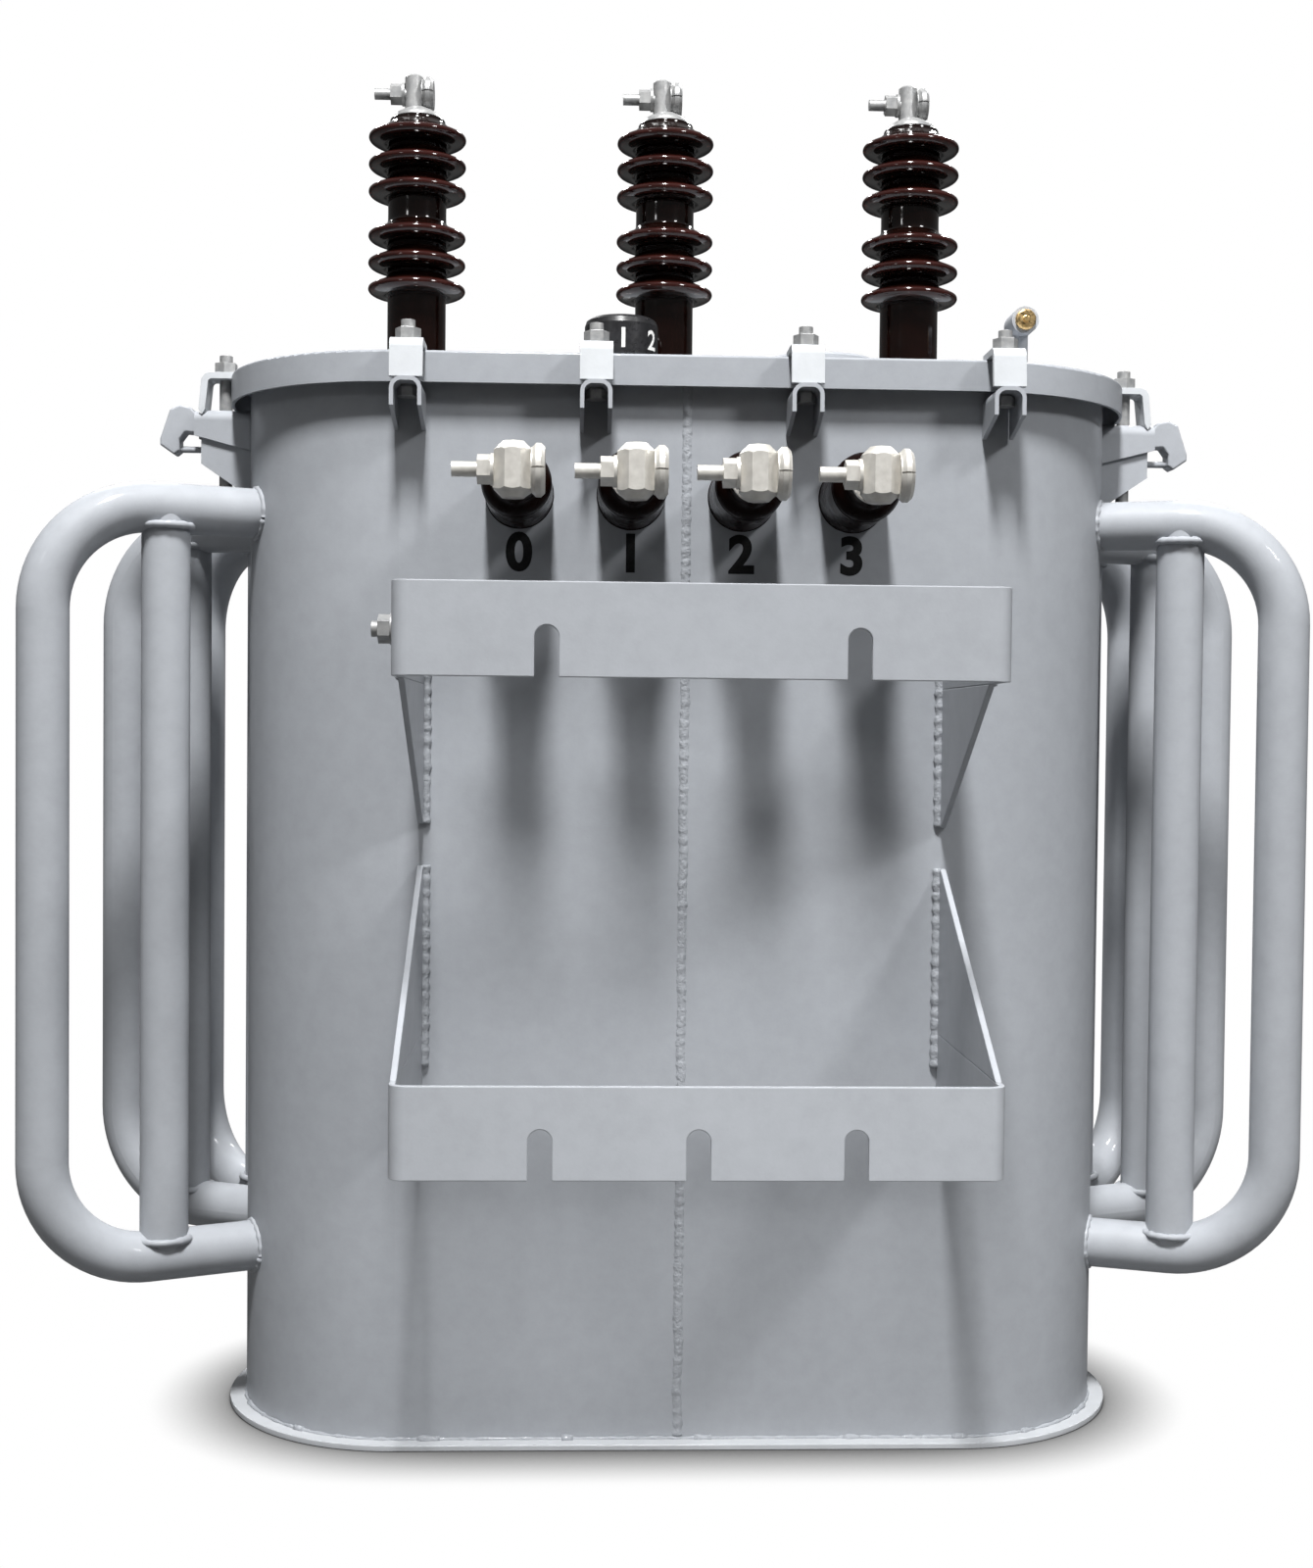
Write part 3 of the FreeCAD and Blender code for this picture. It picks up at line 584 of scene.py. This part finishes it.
def make_hv_bushings():
    for name in ("left", "middle", "right"):
        low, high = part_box("hv_bushing_" + name)
        bm = bmesh.new()
        lathe(bm, hv_profile((high.z - low.z) / MM), segments=96)
        place = Matrix.Translation(((low.x + high.x) / 2, (low.y + high.y) / 2, low.z))
        obj = placed_piece("porcelain_hv_" + name, bm, PORCELAIN, place)
        obj.data.materials.append(THIN_GLAZE)
        for polygon in obj.data.polygons:
            polygon.material_index = int(polygon.center.xy.length > SHED_RIM)
        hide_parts("hv_bushing_" + name)


def make_lv_bushings():
    """Thick porcelain that narrows to a neck before the terminal, turned about the Y axis."""
    for k in range(4):
        node = "lv_bushing_%d" % k
        low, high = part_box(node)
        length = (high.y - low.y) / MM
        profile = [(0.5, 0), (27.5, 0), (28.6, 1), (29, 3), (29, 20), (29, length - 54),
                   (28.7, length - 48), (27.5, length - 43), (24.5, length - 38.5),
                   (21.0, length - 35.0), (19.3, length - 31), (19, length - 26),
                   (19, length - 2), (18.6, length), (0.5, length)]
        bm = bmesh.new()
        lathe(bm, [(r * MM, z * MM) for r, z in profile], segments=72)
        turn = Matrix.Rotation(math.radians(90), 4, "X")
        place = Matrix.Translation(((low.x + high.x) / 2, high.y, (low.z + high.z) / 2)) @ turn
        obj = placed_piece("porcelain_lv_%d" % k, bm, LV_PORCELAIN, place)
        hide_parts(node)


# ---- markings ------------------------------------------------------------------------------

KNOB_DIGIT_ANGLES = (2, 54, 108, 162, 216, 270)    # degrees round the knob from its front
KNOB_DIGIT_HEIGHT = 17 * MM
KNOB_DIGIT_DROP = 5 * MM         # below the middle of the knob
TERMINAL_DIGIT_HEIGHT = 31 * MM
TERMINAL_DIGIT_DROP = 22 * MM    # below the bushing
KNOB_BOLDNESS = 0.028            # how far a digit's outline grows, as a share of its height
TERMINAL_BOLDNESS = 0.055
DIGIT_SHARE = 0.70               # height of a digit as a share of the font's size
PAINT_FILM = 0.15 * MM
WALL_PAINT_FILM = 0.25 * MM


def text_bmesh(text, height, boldness):
    """Flat digits centred on the origin in the XY plane."""
    curve = bpy.data.curves.new("digit", "FONT")
    curve.body = text
    curve.size = height / DIGIT_SHARE
    curve.offset = boldness * height
    curve.align_x, curve.align_y = "CENTER", "CENTER"
    curve.resolution_u = 6
    holder = bpy.data.objects.new("digit", curve)
    bpy.context.scene.collection.objects.link(holder)
    bpy.context.view_layer.update()
    evaluated = holder.evaluated_get(bpy.context.evaluated_depsgraph_get())
    mesh = bpy.data.meshes.new_from_object(evaluated)
    bm = bmesh.new()
    bm.from_mesh(mesh)
    bpy.data.objects.remove(holder)
    bpy.data.meshes.remove(mesh)
    bpy.data.curves.remove(curve)
    return bm


def make_knob_digits():
    """Position numbers round the side of the tap-changer knob."""
    low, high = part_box("tap_changer_knob")
    centre = (low + high) / 2
    radius = (high.x - low.x) / 2 + PAINT_FILM
    for k, angle in enumerate(KNOB_DIGIT_ANGLES):
        bm = text_bmesh(str(k + 1), KNOB_DIGIT_HEIGHT, KNOB_BOLDNESS)
        bmesh.ops.subdivide_edges(bm, edges=bm.edges, cuts=2)
        bmesh.ops.triangulate(bm, faces=bm.faces)
        for vert in bm.verts:
            a = math.radians(angle) + vert.co.x / radius
            vert.co = Vector((centre.x + radius * math.sin(a), centre.y - radius * math.cos(a),
                              centre.z - KNOB_DIGIT_DROP + vert.co.y))
        piece("knob_digit_%d" % (k + 1), bm, WHITE_MARK, KNOB_BODY)


def make_terminal_digits():
    """Plain terminal numbers painted on the tank below the low-voltage bushings."""
    for k in range(4):
        low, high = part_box("lv_bushing_%d" % k)
        x = (low.x + high.x) / 2
        bm = text_bmesh(str(k), TERMINAL_DIGIT_HEIGHT, TERMINAL_BOLDNESS)
        for vert in bm.verts:
            vert.co = Vector((x + vert.co.x, -TANK_Y - WALL_PAINT_FILM,
                              low.z - TERMINAL_DIGIT_DROP + vert.co.y))
        piece("terminal_digit_%d" % k, bm, BLACK_MARK)


# ---- floor, light and camera ------------------------------------------------------------

FLOOR_HALF_WIDTH = 12.0
CONTACT_REACH = 0.105            # how far from the object the painted contact shadow starts, in metres
FILL_LOW = 0.04                  # strength of the surroundings at the horizon
FILL_HIGH = 0.42                 # and overhead
FILL_TOP = 0.9                   # sine of the elevation from which FILL_HIGH holds
SPOT_SIZE = 0.20                 # radius of the spot, in metres
# name, place, target, size in metres, power in watts
AREA_LAMPS = (
    ("key", (-0.20, -2.20, 4.60), (0, -0.15, 0.6), (0.40, 0.90), 378),
    ("side_right", (2.2, -2.3, 2.9), (0, -0.1, 0.7), (0.50, 0.50), 52),
    ("side_left", (-1.7, -2.1, 2.0), (0, -0.1, 0.7), (0.25, 0.25), 3),
    ("back_right", (1.6, 3.0, 3.6), (0, 0.1, 0.6), (0.60, 0.60), 84),
    ("back_left", (-1.6, 3.0, 3.6), (0, 0.1, 0.6), (0.60, 0.60), 74),
)
# name, place, target, cone in degrees, power in watts
FOOT_SPOT = ("low_front", (0.10, -2.60, 0.95), (0.10, -0.15, 0.09), 26, 54)


def make_floor():
    """Pale to the camera, with a contact shadow painted into its glow from ambient occlusion; dark
    to other rays, so it returns little light.
    """
    bm = bmesh.new()
    bmesh.ops.create_grid(bm, x_segments=1, y_segments=1, size=FLOOR_HALF_WIDTH)
    mesh = bpy.data.meshes.new("floor")
    bm.to_mesh(mesh)
    bm.free()
    floor = bpy.data.objects.new("floor", mesh)
    bpy.context.scene.collection.objects.link(floor)
    s = Shader("pale_floor", roughness=0.9, specular=0.0)
    s.colour(s.ramp(s.noise(1.5, 3.0), (0.3, (0.11, 0.11, 0.11)), (0.7, (0.12, 0.12, 0.12))))
    # Painted contact shadow: ambient occlusion darkens the floor's glow near the object.
    near = s.add("ShaderNodeAmbientOcclusion", samples=32)
    near.inputs["Distance"].default_value = CONTACT_REACH
    painted_contact_shadow = s.ramp(near.outputs["AO"], (0.0, (0.0, 0.0, 0.0)), (0.47, (0.0, 0.0, 0.0)),
                   (0.60, (0.20, 0.20, 0.20)), (0.78, (0.55, 0.55, 0.55)), (0.97, (1.0, 1.0, 1.0)))
    glow = s.add("ShaderNodeEmission")
    s.link(painted_contact_shadow, glow.inputs["Color"])
    path = s.add("ShaderNodeLightPath")
    choose = s.add("ShaderNodeMixShader")
    s.link(path.outputs["Is Camera Ray"], choose.inputs[0])
    s.link(s.bsdf.outputs[0], choose.inputs[1])
    s.link(glow.outputs[0], choose.inputs[2])
    s.link(choose.outputs[0], s.output.inputs["Surface"])
    mesh.materials.append(s.material)


def aimed_lamp(name, kind, place, target, power):
    """Adds a lamp that points at `target` and returns its data."""
    data = bpy.data.lights.new(name, kind)
    data.energy = power
    lamp = bpy.data.objects.new(name, data)
    lamp.location = place
    lamp.rotation_euler = (Vector(target) - Vector(place)).to_track_quat("-Z", "Y").to_euler()
    bpy.context.scene.collection.objects.link(lamp)
    return data


def area_light(name, place, target, size, power):
    data = aimed_lamp(name, "AREA", place, target, power)
    data.shape = "RECTANGLE"
    data.size, data.size_y = size


def spot_light(name, place, target, cone, power):
    """A soft-edged pool of light, `cone` degrees wide."""
    data = aimed_lamp(name, "SPOT", place, target, power)
    data.spot_size = math.radians(cone)
    data.spot_blend = 1.0
    data.shadow_soft_size = SPOT_SIZE


def make_world():
    """White seen behind the object; dimmer surroundings, brighter overhead, as the fill."""
    world = bpy.data.worlds.new("studio")
    world.use_nodes = True
    tree = world.node_tree
    tree.nodes.clear()
    direction = tree.nodes.new("ShaderNodeTexCoord").outputs["Generated"]
    split = tree.nodes.new("ShaderNodeSeparateXYZ")
    tree.links.new(direction, split.inputs[0])
    height = tree.nodes.new("ShaderNodeMapRange")
    for key, value in (("From Min", 0.0), ("From Max", FILL_TOP),
                       ("To Min", FILL_LOW), ("To Max", FILL_HIGH)):
        height.inputs[key].default_value = value
    tree.links.new(split.outputs["Z"], height.inputs["Value"])
    fill = tree.nodes.new("ShaderNodeBackground")
    tree.links.new(height.outputs["Result"], fill.inputs["Strength"])
    seen = tree.nodes.new("ShaderNodeBackground")
    path = tree.nodes.new("ShaderNodeLightPath")
    choose = tree.nodes.new("ShaderNodeMixShader")
    tree.links.new(path.outputs["Is Camera Ray"], choose.inputs[0])
    tree.links.new(fill.outputs[0], choose.inputs[1])
    tree.links.new(seen.outputs[0], choose.inputs[2])
    tree.links.new(choose.outputs[0], tree.nodes.new("ShaderNodeOutputWorld").inputs["Surface"])
    seen.inputs["Color"].default_value = (1.0, 1.0, 1.0, 1.0)
    seen.inputs["Strength"].default_value = 1.0
    bpy.context.scene.world = world


def make_light():
    """Adds the lamps, and shows colours as they are, without a film curve."""
    for lamp in AREA_LAMPS:
        area_light(*lamp)
    spot_light(*FOOT_SPOT)
    bpy.context.scene.view_settings.view_transform = "Standard"


CAMERA_PLACE = (-0.0903, -1.820, 0.6228)
CAMERA_TURN = 0.040              # radians to the right
CAMERA_DIP = 0.027               # radians below level
CAMERA_LEAN = 0.010              # radians about its own axis
CAMERA_LENS = 44.3               # millimetres, on a sensor 36 mm long
CAMERA_SENSOR = 36.0


def make_camera():
    data = bpy.data.cameras.new("camera")
    data.lens = CAMERA_LENS
    data.sensor_width = CAMERA_SENSOR
    data.clip_end = 50.0
    camera = bpy.data.objects.new("camera", data)
    turn = Matrix.Rotation(-CAMERA_TURN, 4, "Z")
    dip = Matrix.Rotation(math.radians(90) - CAMERA_DIP, 4, "X")
    lean = Matrix.Rotation(CAMERA_LEAN, 4, "Z")
    camera.matrix_world = Matrix.Translation(CAMERA_PLACE) @ turn @ dip @ lean
    bpy.context.scene.collection.objects.link(camera)
    bpy.context.scene.camera = camera


finish_cad_nodes()
make_base_weld()
make_seam_welds()
make_frame_welds()
make_bracket_welds()
make_hv_bushings()
make_lv_bushings()
make_knob_digits()
make_terminal_digits()
make_floor()
make_world()
make_light()
make_camera()
